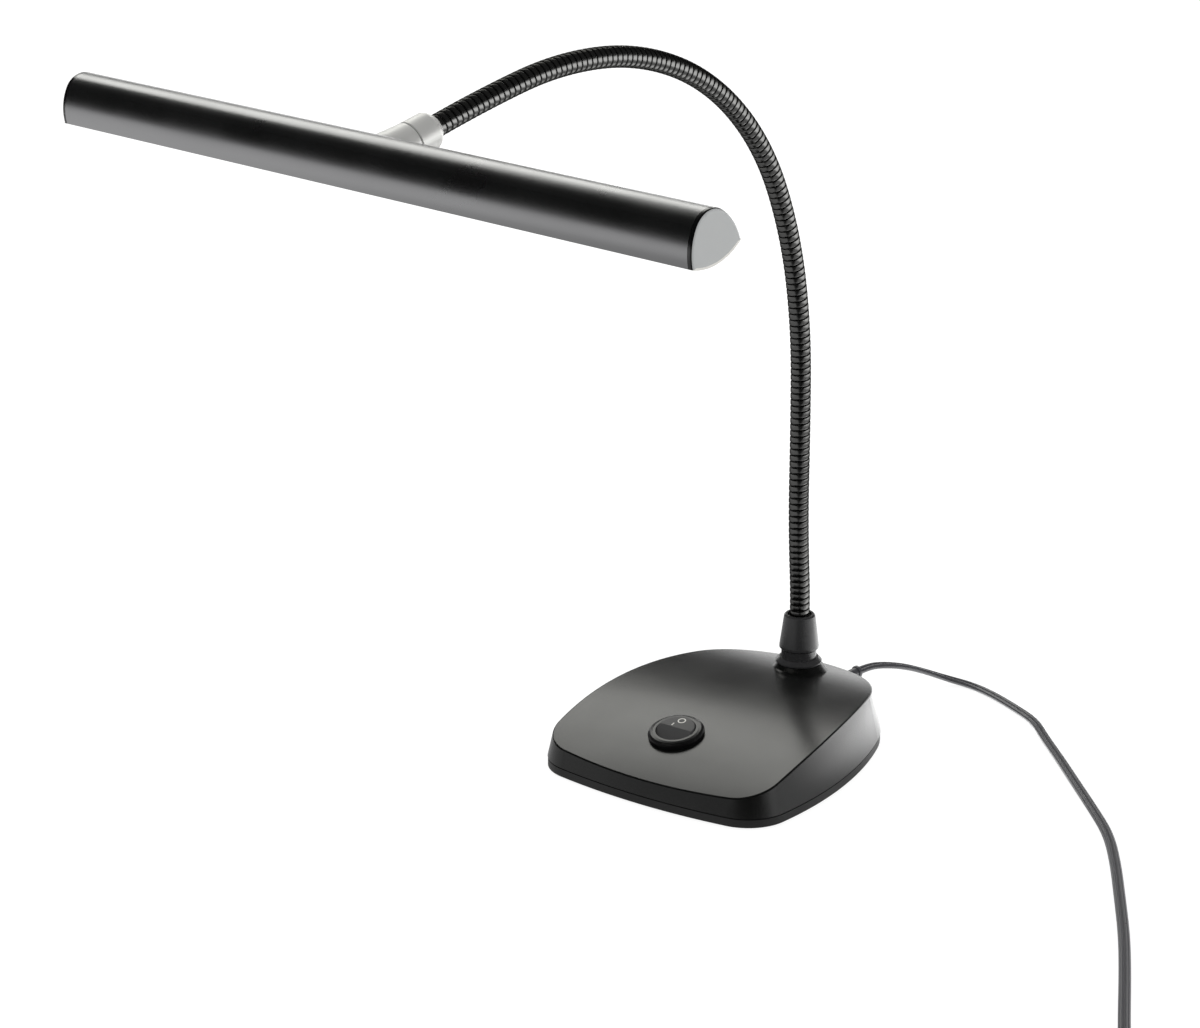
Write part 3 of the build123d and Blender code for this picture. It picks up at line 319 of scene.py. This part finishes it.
for turn, (now, then) in enumerate(zip(TURNS, TURNS[1:])):
    for step in range(STEPS if turn < LAST_TURN else LAST_STEP + 1):
        angle = math.radians(COIL_START - 360 * step / STEPS)
        slip = max(0.0, (step - STEPS + SLIP_STEPS) / SLIP_STEPS)
        radius = (now[0] + (then[0] - now[0]) * slip) / INSIDE
        z = now[1] + (then[1] - now[1]) * slip
        route.append(COIL_MIDDLE + mm(radius * math.cos(angle), radius * math.sin(angle), z))
route += [mm(*point) for point in (
    (252.4, -247.4, 7.6), (245.8, -253.7, 8.4), (238.5, -256.6, 8.4), (231.0, -256.8, 8.2),
    (221.1, -256.1, 6.2), (210.9, -256.1, 1.9), (203.8, -263.2, 0.9), (203.8, -273.4, 2.9),
    (210.9, -280.5, 8.0), (221.1, -280.5, 11.0), (234.0, -280.5, 11.0), (247.5, -280.5, 11.0))]
print("points with the coil", len(route))


# %% [markdown]
# The section is a curve of its own: two round lobes that meet in a groove on each side. The
# spline carries it along, level all the way, as a flat cord lies. Two round tubes side by side
# would do as well, but one closed skin is what a moulded sheath is.

# %% The section with its two lobes
LOBE_ANGLES = range(-156, 157, 26)         # degrees round one core, but for where the other joins
CORE_RADIUS, CORE_OFFSET = mm(CORD_THICK / 2), mm((CORD_WIDTH - CORD_THICK) / 2)

section = bpy.data.curves.new("cord_section", "CURVE")
section.dimensions = "2D"
lobes = section.splines.new("POLY")
lobes.points.add(2 * len(LOBE_ANGLES) - 1)
both_cores = [(1, angle) for angle in LOBE_ANGLES] + [(-1, angle + 180) for angle in LOBE_ANGLES]
for point, (side, angle) in zip(lobes.points, both_cores):
    turned = math.radians(angle)
    point.co = (side * CORE_OFFSET + CORE_RADIUS * math.cos(turned), CORE_RADIUS * math.sin(turned), 0, 1)
lobes.use_cyclic_u = True
section_object = bpy.data.objects.new("cord_section", section)
print("points in the section", len(lobes.points))

# %% [markdown]
# The line is a NURBS spline that keeps near its points without touching them, so it has no
# corner anywhere. Its mesh, while it still has no thickness, gives the points that the cord
# follows and their length.

# %% The spline
line = bpy.data.curves.new("cord_line", "CURVE")
line.dimensions = "3D"
line.twist_mode = "Z_UP"
line.resolution_u = 4
spline = line.splines.new("NURBS")
spline.points.add(len(route) - 1)
for point, place in zip(spline.points, route):
    point.co = (*place, 1)
spline.use_endpoint_u = True
spline.order_u = 3
line_object = bpy.data.objects.new("cord_line", line)
scene.collection.objects.link(line_object)


def curve_mesh(curve_object):
    """The mesh that a curve makes now."""
    bpy.context.view_layer.update()
    evaluated = curve_object.evaluated_get(bpy.context.evaluated_depsgraph_get())
    return bpy.data.meshes.new_from_object(evaluated)


cord_path = [vertex.co.copy() for vertex in curve_mesh(line_object).vertices]
cord_length = sum((b - a).length for a, b in zip(cord_path, cord_path[1:]))
print("cord", round(cord_length, 3), "m")

# %% [markdown]
# A bevel object is the quickest way to carry a section along a curve, and the ends are closed
# with caps. The result is kept as a mesh, and the two helper curves are removed.

# %% The sheath, with the section swept along the spline
CORD_CREASE = math.radians(40)             # only the grooves between the cores are sharper
line.bevel_mode = "OBJECT"
line.bevel_object = section_object
line.use_fill_caps = True
cord = bpy.data.objects.new("flat_cord", curve_mesh(line_object))
scene.collection.objects.link(cord)
bpy.data.objects.remove(line_object)
bpy.data.objects.remove(section_object)
for face in cord.data.polygons:
    face.use_smooth = True
cord.data.set_sharp_from_angle(angle=CORD_CREASE)
print("cord", len(cord.data.polygons), "faces")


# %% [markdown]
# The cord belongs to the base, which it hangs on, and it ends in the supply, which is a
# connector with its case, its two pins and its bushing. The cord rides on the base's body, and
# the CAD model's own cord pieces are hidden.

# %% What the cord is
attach(cord, "base")
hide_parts("cord", "cord_coil", "cord_tail")
print("the cord rides on the base")


# %% [markdown]
# ## Meshes and their objects
# Every piece is a mesh that keeps its place in its points, so its object stays at the
# origin. This helper closes a bmesh, turns its faces outwards, and makes the object.

# %% From a bmesh to a piece
def piece(name, mesh, crease=math.radians(35)):
    """An object of a closed bmesh: faces outwards, shaded smooth but for its sharp edges."""
    bmesh.ops.recalc_face_normals(mesh, faces=mesh.faces)
    made = bpy.data.objects.new(name, bpy.data.meshes.new(name))
    mesh.to_mesh(made.data)
    mesh.free()
    scene.collection.objects.link(made)
    for face in made.data.polygons:
        face.use_smooth = True
    made.data.set_sharp_from_angle(angle=crease)
    print(name, len(made.data.polygons), "faces, box", [round(1000 * x, 1) for x in made.dimensions], "mm")
    return made


# %% [markdown]
# ## The neck's line
# The neck stands upright in its socket and then leans forward. Its line is a chain of arcs: a
# short one of 19 mm up to the first hinge, eight of 41.9 mm, and a last one of 43.4 mm. A drawn
# curve could give the line too, but with arcs a function gives the place and the lean at any
# distance along it, so that a straight winding can be bent onto the line.

# %% Where the neck runs
ARM_TURN = math.radians(-7.9)              # the whole neck leans forward and a little to the left
FORWARD = Vector((math.sin(ARM_TURN), -math.cos(ARM_TURN), 0))
ACROSS = Vector((math.cos(ARM_TURN), math.sin(ARM_TURN), 0))
UP = Vector((0, 0, 1))
SOCKET_TOP = 46.0
LINK = 41.9
LINK_BENDS = (-4.5, 1.3, 9.6, 13.5, 22.0, 22.0, 19.0, 14.8)
ARCS = [(19.0, 4.3)] + [(LINK, bend) for bend in LINK_BENDS] + [(43.4, 3.8)]    # mm, degrees


def along(lean):
    """The direction that leans forward from upright by that angle in degrees."""
    return FORWARD * math.sin(math.radians(lean)) + UP * math.cos(math.radians(lean))


def neck_at(distance):
    """Place in mm and lean in degrees, that many mm along the neck from the socket's mouth."""
    place, lean = Vector((0, 0, SOCKET_TOP)), 0.0
    if distance < 0:
        return place + UP * distance, 0.0
    for length, bend in ARCS:
        part = min(distance, length)
        turn = bend * part / length
        half = math.radians(turn) / 2
        chord = part * (math.sin(half) / half if abs(half) > 1e-9 else 1)
        place = place + along(lean + turn / 2) * chord
        lean += turn
        distance -= length
        if distance <= 0:
            return place, lean
    return place + along(lean) * distance, lean


NECK_LENGTH = sum(length for length, bend in ARCS)
PIVOTS = [sum(length for length, bend in ARCS[:k]) for k in range(1, len(ARCS))]
neck_end, head_lean = neck_at(NECK_LENGTH)
print("neck", round(NECK_LENGTH, 1), "mm, ends at", [round(x, 2) for x in neck_end],
      "lean", round(head_lean, 1))


# %% [markdown]
# ## Winding the neck
# A gooseneck is a round steel wire wound into a tube, with a second wire pressed into the
# groove between its turns. From outside that is a close thread: broad, slightly crowned bands
# and thin dark gaps. It is made like a thread: the outline of one turn, a short zigzag of
# edges, is spun round the axis while it climbs by the pitch, so each turn meets the last.

# %% A straight winding
PITCH = 2.65
BAND = (                                   # radius and height in mm along one turn's outline
    (3.55, 0.0), (3.58, 0.12), (3.96, 0.16), (4.08, 0.26), (4.145, 0.42), (4.175, 0.7), (4.185, 1.33),
    (4.175, 1.95), (4.145, 2.23), (4.08, 2.39), (3.96, 2.49), (3.58, 2.53), (3.55, 2.65))
GROOVE_RADIUS = 3.9                        # what lies deeper is the second wire, painted black as shade in the grooves
ROUND = 24                                 # faces in one turn
WELD = 0.02                                # mm, closer points are one


def winding(low, high):
    """A straight closed stretch of winding about Z, in mm, between two heights."""
    mesh = bmesh.new()
    first = math.floor(low / PITCH) * PITCH - PITCH
    turns = math.ceil((high - first) / PITCH) + 1
    points = [mesh.verts.new((radius, 0, first + z)) for radius, z in BAND]
    edges = [mesh.edges.new(pair) for pair in zip(points, points[1:])]
    bmesh.ops.spin(mesh, geom=points + edges, axis=UP, cent=(0, 0, 0), angle=2 * math.pi * turns,
                   steps=ROUND * turns, dvec=(0, 0, PITCH / ROUND))
    bmesh.ops.remove_doubles(mesh, verts=mesh.verts, dist=WELD)
    for height, outer in ((low, False), (high, True)):
        cut = bmesh.ops.bisect_plane(
            mesh, geom=mesh.verts[:] + mesh.edges[:] + mesh.faces[:], plane_co=(0, 0, height),
            plane_no=UP, dist=1e-4, clear_outer=outer, clear_inner=not outer)
        rim = [edge for edge in cut["geom_cut"] if isinstance(edge, bmesh.types.BMEdge)]
        bmesh.ops.edgeloop_fill(mesh, edges=rim)
    # faces deep in a groove get the second finish, which is painted shade
    for face in mesh.faces:
        if face.calc_center_median().xy.length < GROOVE_RADIUS:
            face.material_index = 1
    return mesh


print("turns in the neck", round(NECK_LENGTH / PITCH))


# %% [markdown]
# The straight winding is cut into nine pieces in the middle of each link, and every point is
# carried to its place on the neck's line, so the neck bends like one smooth tube. Each piece
# crosses one hinge and stands in for the CAD links that it covers, which are hidden.

# %% Bend the winding, one piece across each hinge
HALF_LINK = LINK / 2
IN_SOCKET, IN_HUB = 13.0, 5.9              # how deep the winding goes in at its two ends
BLEND_REACH = 18.0                         # mm on each side of a hinge

neck_pieces = []
for number, pivot in enumerate(PIVOTS, 1):
    first, last = number == 1, number == len(PIVOTS)
    low = -IN_SOCKET if first else PIVOTS[number - 2] + HALF_LINK
    high = NECK_LENGTH + IN_HUB if last else pivot + HALF_LINK
    mesh = winding(low, high)
    for vertex in mesh.verts:
        place, lean = neck_at(vertex.co.z)
        outward = UP * math.sin(math.radians(lean)) - FORWARD * math.cos(math.radians(lean))
        vertex.co = (place + ACROSS * vertex.co.x + outward * vertex.co.y) / 1000
    made = piece(f"neck_winding_{number}", mesh, crease=math.radians(50))
    nodes = ["gooseneck_root" if first else f"gooseneck_link_{number - 1}"]
    if last:
        nodes.append("gooseneck_link_9")
    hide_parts(*nodes)
    ends = [neck_at(pivot + offset)[0] / 1000 for offset in (-BLEND_REACH, BLEND_REACH)]
    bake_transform(made)
    neck_pieces.append(made)
print("neck pieces", len(neck_pieces))


# %% [markdown]
# ## Marks on the switch
# A ring and a bar, the common marks for off and on, are printed on the rocker. Each is a thin
# film: the ring is a small flat section spun round, and the bar a plate with rounded corners.
# A texture could draw them too, but a film keeps a crisp edge and moves with the rocker.
# They are made level, then turned onto the rocker, whose bezel follows the base's arched top.

# %% Where a mark goes
SWITCH_MIDDLE, SWITCH_TILT = mm(-3.0, -85.0, 19.13), math.radians(12.16)
SWITCH_PLACE = Matrix.Translation(SWITCH_MIDDLE) @ Matrix.Rotation(SWITCH_TILT, 4, "X")
FILM_LOW, FILM_HIGH = 3.26, 3.34           # mm in the switch's own frame; the rocker's top is at 3.3
FILM_THICK, FILM_MIDDLE = FILM_HIGH - FILM_LOW, (FILM_LOW + FILM_HIGH) / 2
MARK_LINE = 0.5                            # mm, the width of the ring's and the bar's line


def film(name, mesh, x, y):
    """A print on the rocker from a flat mesh in mm."""
    to_rocker = SWITCH_PLACE @ Matrix.Scale(0.001, 4) @ Matrix.Translation((x, y, 0))
    bmesh.ops.transform(mesh, matrix=to_rocker, verts=mesh.verts)
    made = piece(name, mesh)
    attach(made, "rocker")
    return made


print("film", round(FILM_THICK, 2), "mm thick")

# %% [markdown]
# The ring starts as the outline of its section, a flat rectangle that stands on edge beside the
# middle. A full turn of it, with its ends merged, makes a closed ring.

# %% The ring
RING_RADIUS = 1.48                         # mm, to the middle of its line
RING_STEPS = 40
ring = bmesh.new()
bmesh.ops.create_grid(ring, x_segments=1, y_segments=1, size=0.5)
on_edge = (Matrix.Translation((RING_RADIUS, 0, FILM_MIDDLE)) @ Matrix.Rotation(math.radians(90), 4, "X")
           @ Matrix.Diagonal((MARK_LINE, FILM_THICK, 1, 1)))
bmesh.ops.transform(ring, matrix=on_edge, verts=ring.verts)
bmesh.ops.delete(ring, geom=ring.faces[:], context="FACES_ONLY")
bmesh.ops.spin(ring, geom=ring.verts[:] + ring.edges[:], axis=UP, cent=(0, 0, 0), angle=2 * math.pi,
               steps=RING_STEPS, use_merge=True)
off_mark = film("off_mark", ring, -0.3, 5.0)

# %% [markdown]
# The bar is a thin box. Its four upright edges are bevelled, which rounds its corners and
# leaves its face flat.

# %% The bar
BAR_LENGTH, BAR_CORNER = 1.8, 0.2          # mm
bar = bmesh.new()
flat = Matrix.Translation((0, 0, FILM_MIDDLE)) @ Matrix.Diagonal((MARK_LINE, BAR_LENGTH, FILM_THICK, 1))
bmesh.ops.create_cube(bar, size=1, matrix=flat)
upright = [edge for edge in bar.edges if abs(edge.verts[0].co.z - edge.verts[1].co.z) > FILM_THICK / 2]
bmesh.ops.bevel(bar, geom=upright, offset=BAR_CORNER, offset_type="OFFSET", affect="EDGES", segments=3,
                profile=0.5, material=-1)
on_mark = film("on_mark", bar, -2.3, 1.5)


# %% [markdown]
# ## Finishes
# Each finish is named for the real material, and for painted shade where its colour holds some.
# One function covers moulded, painted and plated surfaces, which is all of the lamp: a colour
# that varies by a few percent, a gloss that varies with handling, and a fine grain from the
# mould or the paint. Real grain is mostly finer than a pixel here, so it is drawn as coarse as
# it needs to show.

# %% Moulded, painted and plated surfaces
CLOUD = 35                                 # mm, the size of a patch that is a little duller
DARKER = 0.86                              # a patch's colour against the full one
UNEVEN = 0.12                              # how far the gloss goes up and down
TYPICAL_IOR = 1.5                          # of plastics and lacquers


def lamp_finish(name, colour, roughness, grain_mm, grain_height_mm, metallic=0.0, **extra):
    """A finish with a fine grain of that size and height, and slightly uneven gloss."""
    material = bpy.data.materials.new(name)
    material.use_nodes = True
    tree = material.node_tree
    tree.nodes.clear()
    full = paint(colour)
    dark = [value * DARKER for value in full[:3]] + [1]
    place = add_node(tree, "ShaderNodeTexCoord").outputs["Object"]
    cloud = add_node(tree, "ShaderNodeTexNoise", {
        "Vector": place, "Scale": 1000 / CLOUD, "Detail": 4.0, "Roughness": 0.55}).outputs["Fac"]
    tinted = add_node(tree, "ShaderNodeMix", {"Factor": cloud, "A": dark, "B": full}, data_type="RGBA")
    gloss = add_node(tree, "ShaderNodeMapRange", {
        "Value": cloud, "From Min": 0.3, "From Max": 0.7,
        "To Min": roughness * (1 - UNEVEN), "To Max": roughness * (1 + UNEVEN)})
    body = add_node(tree, "ShaderNodeBsdfPrincipled", {
        "Base Color": tinted.outputs["Result"], "Roughness": gloss.outputs["Result"],
        "Metallic": metallic, "IOR": TYPICAL_IOR, **extra})
    if grain_height_mm:
        grain = add_node(tree, "ShaderNodeTexNoise", {
            "Vector": place, "Scale": 1000 / grain_mm, "Detail": 2.0, "Roughness": 0.6})
        bump = add_node(tree, "ShaderNodeBump", {
            "Height": grain.outputs["Fac"], "Strength": 0.6, "Distance": mm(grain_height_mm)})
        tree.links.new(bump.outputs["Normal"], body.inputs["Normal"])
    add_node(tree, "ShaderNodeOutputMaterial", {"Surface": body.outputs[0]})
    return material


print("patches of", CLOUD, "mm")


# %% [markdown]
# The base's shell is black ABS, moulded and lacquered to a satin. The tray below it is plain
# ABS, and the pad is foam. The screws and the ballast are steel with a thin coat of zinc.

# %% The base's finishes
finishes = {
    # nearly black by itself, and grey where it mirrors a bright room at a flat angle
    "base_paint": lamp_finish("satin_lacquered_abs", "#0d0e0d", 0.24, 1.4, 0.002),
    # the same black without the clear sheen, so the tray reads as a shadow under the shell
    "black_plastic": lamp_finish("matt_moulded_abs", "#0d0d0d", 0.5, 0.5, 0.02),
    # dull and slightly pitted, with no highlight at all
    "foam_pad": lamp_finish("eva_foam", "#1a1a1a", 0.85, 0.9, 0.05),
    # a pale metal with a frosted highlight
    "steel": lamp_finish("zinc_plated_steel", "#c4c4c0", 0.35, 0.4, 0.01, metallic=1.0),
}
print("finishes", len(finishes))


# %% [markdown]
# The neck's winding is nickel-plated steel; its dark colour is partly the plating and partly
# painted shade for the winding's own grooves. Its specular tint is low too, as painted shade,
# because the grooves beside each band keep flat light out, and a full edge reflection would turn
# the neck pale.
# The second wire deep in the grooves is painted black and dull, as painted shade in the gaps
# between the bands. The socket is enamelled brass, and the hub on the other end is cast zinc
# under a silver lacquer, which is paint with metal flakes in it.

# %% The neck's and the hub's finishes
finishes |= {
    # bands darkened partly as painted shade, with one narrow bright line along the side that faces the
    # light
    "neck_metal": lamp_finish("nickel_plating_and_painted_shade", "#656564", 0.22, 1.4, 0.001, metallic=1.0,
                              **{"Specular Tint": paint("#6f6f6f")}),
    # a soft black with a clear highlight down its side
    "black_metal": lamp_finish("black_enamelled_brass", "#353536", 0.28, 1.2, 0.002),
    # warm, clean metal where a part is turned or stamped and not coated
    "brass": lamp_finish("drawn_brass", "#d9b45c", 0.3, 0.5, 0.004, metallic=1.0),
    # the lead inside the neck: smooth rubber with a broad, weak highlight
    "lead_sleeve": lamp_finish("silicone_sleeve", "#1c1c1d", 0.5, 0.6, 0.006),
}
# painted shade: black and dull, so that the gaps between the bands stay dark from every side
groove_painted_shade = lamp_finish("painted_shade_in_grooves", "#0b0b0b", 0.6, 0.8, 0.003)
# pale grey that stays pale in the dark room, because only part of it is flakes
silver = lamp_finish("silver_lacquered_zinc", "#d8d8d5", 0.4, 1.2, 0.003, metallic=0.3)
print("finishes", len(finishes))


# %% [markdown]
# The head is an aluminium profile, anodised dark. It has no bump, because a long, straight
# surface shows every wave in it. The caps are black ABS and the window is opal. Behind it sit
# a white board, its lights and a nylon terminal block.

# %% The head's finishes
finishes |= {
    # a metal grey that runs from nearly white to black across the profile's bend
    "head_paint": lamp_finish("dark_anodised_aluminium", "#8b8b8c", 0.29, 1.6, 0, metallic=1.0),
    # a glossy black line round the head's end
    "cap_plastic": lamp_finish("black_abs_with_silver_face", "#0a0a0b", 0.22, 1.2, 0.001),
    # milky white, with a soft highlight
    "opal": lamp_finish("opal_polycarbonate", "#eceae4", 0.4, 0.6, 0.004),
    # the board's flat white, slightly glossy
    "board": lamp_finish("white_solder_mask", "#e8e8e2", 0.35, 0.5, 0.004),
    # the yellow of lights that are off
    "led": lamp_finish("phosphor_resin", "#e8d98c", 0.4, 0.4, 0.004),
    # an even, creamy white; the switch's marks are printed in it too
    "white_plastic": lamp_finish("white_nylon", "#d2d1cb", 0.45, 0.6, 0.006),
}
print("finishes", len(finishes))


# %% [markdown]
# Each cap's outer face is sprayed silver, and its rim stays black. The face could be a piece
# of its own, but it is only paint. So the colour changes where the distance from the head's
# middle, measured along the head, passes the face's plane.

# %% Silver on the caps' outer faces
HUB_REACH = 31.9                           # mm from the neck's end to the head's axis
HEAD_LENGTH = 324.0
SILVER_DEPTH = 0.3                         # mm of each end that is silver


def silver_face(material, colour, roughness):
    """Silver lacquer on what faces outwards at the head's two ends, over the cap's black."""
    tree = material.node_tree
    body = next(node for node in tree.nodes if node.type == "BSDF_PRINCIPLED")
    place = next(node for node in tree.nodes if node.type == "TEX_COORD").outputs["Object"]
    middle = (neck_end + along(head_lean) * HUB_REACH) / 1000
    offset = add_node(tree, "ShaderNodeVectorMath", {0: place, 1: middle},
                      operation="SUBTRACT").outputs["Vector"]
    sideways = add_node(tree, "ShaderNodeVectorMath", {0: offset, 1: ACROSS},
                        operation="DOT_PRODUCT").outputs["Value"]
    outside = calc(tree, "GREATER_THAN", calc(tree, "ABSOLUTE", sideways, 0.0),
                   mm(HEAD_LENGTH / 2 - SILVER_DEPTH))
    for name, over, kind in (("Base Color", paint(colour), "RGBA"), ("Roughness", roughness, "FLOAT")):
        under = body.inputs[name].links[0].from_socket
        mixed = add_node(tree, "ShaderNodeMix", {"Factor": outside, "A": under, "B": over}, data_type=kind)
        tree.links.new(mixed.outputs["Result"], body.inputs[name])


silver_face(finishes["cap_plastic"], "#b2b4b4", 0.45)
print("cap nodes", len(finishes["cap_plastic"].node_tree.nodes))


# %% [markdown]
# The rocker is black polyamide with a matt face, and its bezel is the same plastic polished,
# so the two read apart. The cord's sheath is soft PVC and its strap is woven nylon. The supply
# is a matt case with two nickel-plated pins.

# %% The switch's, the cord's and the supply's finishes
finishes |= {
    # a dark grey without clear reflections
    "switch_plastic": lamp_finish("black_polyamide", "#3c3c3d", 0.5, 1.0, 0.004),
    # a rubbery dark grey that shines along its two lobes
    "cord_plastic": lamp_finish("soft_pvc", "#4c4c50", 0.3, 0.8, 0.002),
    # rough and nearly black, bumpy like a coarse weave
    "tie": lamp_finish("woven_nylon_strap", "#1d1d1e", 0.8, 0.7, 0.06),
    # a fine, even mould texture that spreads every highlight
    "adapter_plastic": lamp_finish("matt_polycarbonate", "#1c1c1d", 0.45, 0.6, 0.02),
    # bright, smooth and slightly warm
    "prong_metal": lamp_finish("nickel_plated_brass", "#d5d2c8", 0.2, 0.5, 0.002, metallic=1.0),
}
# black with a bright ring where the bezel's round edge mirrors the backdrop
bezel_black = lamp_finish("polished_black_polyamide", "#0c0c0d", 0.3, 1.0, 0.003)
print("finishes", len(finishes))


# %% [markdown]
# ## Every surface gets its finish
# The CAD nodes come with the record's material slots, whose names are the keys of the table
# above, so a loop can swap them. Three nodes look different from the rest of their slot and
# get their own. The new pieces get theirs last.

# %% Give every CAD node its finish
for name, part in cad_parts.items():
    for holder in part.material_slots:
        slot = holder.material.name.split(".")[0] if holder.material else ""
        if slot in finishes:
            holder.material = finishes[slot]
        else:
            print("no finish for", name, slot)
for name, finish in (("hub_ferrule", silver), ("hub_stub", silver), ("switch_bezel", bezel_black)):
    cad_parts[name].material_slots[0].material = finish
print("dressed nodes", len(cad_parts))

# %% [markdown]
# A winding has two finishes: the first is for its bands, and the second, painted shade, for its
# grooves, as its faces were marked when it was spun.

# %% Give the new pieces theirs
for made in neck_pieces:
    made.data.materials.append(finishes["neck_metal"])
    made.data.materials.append(groove_painted_shade)
for made in (off_mark, on_mark):
    made.data.materials.append(finishes["white_plastic"])
cord.data.materials.append(finishes["cord_plastic"])
print("dressed pieces", len(neck_pieces) + 3)
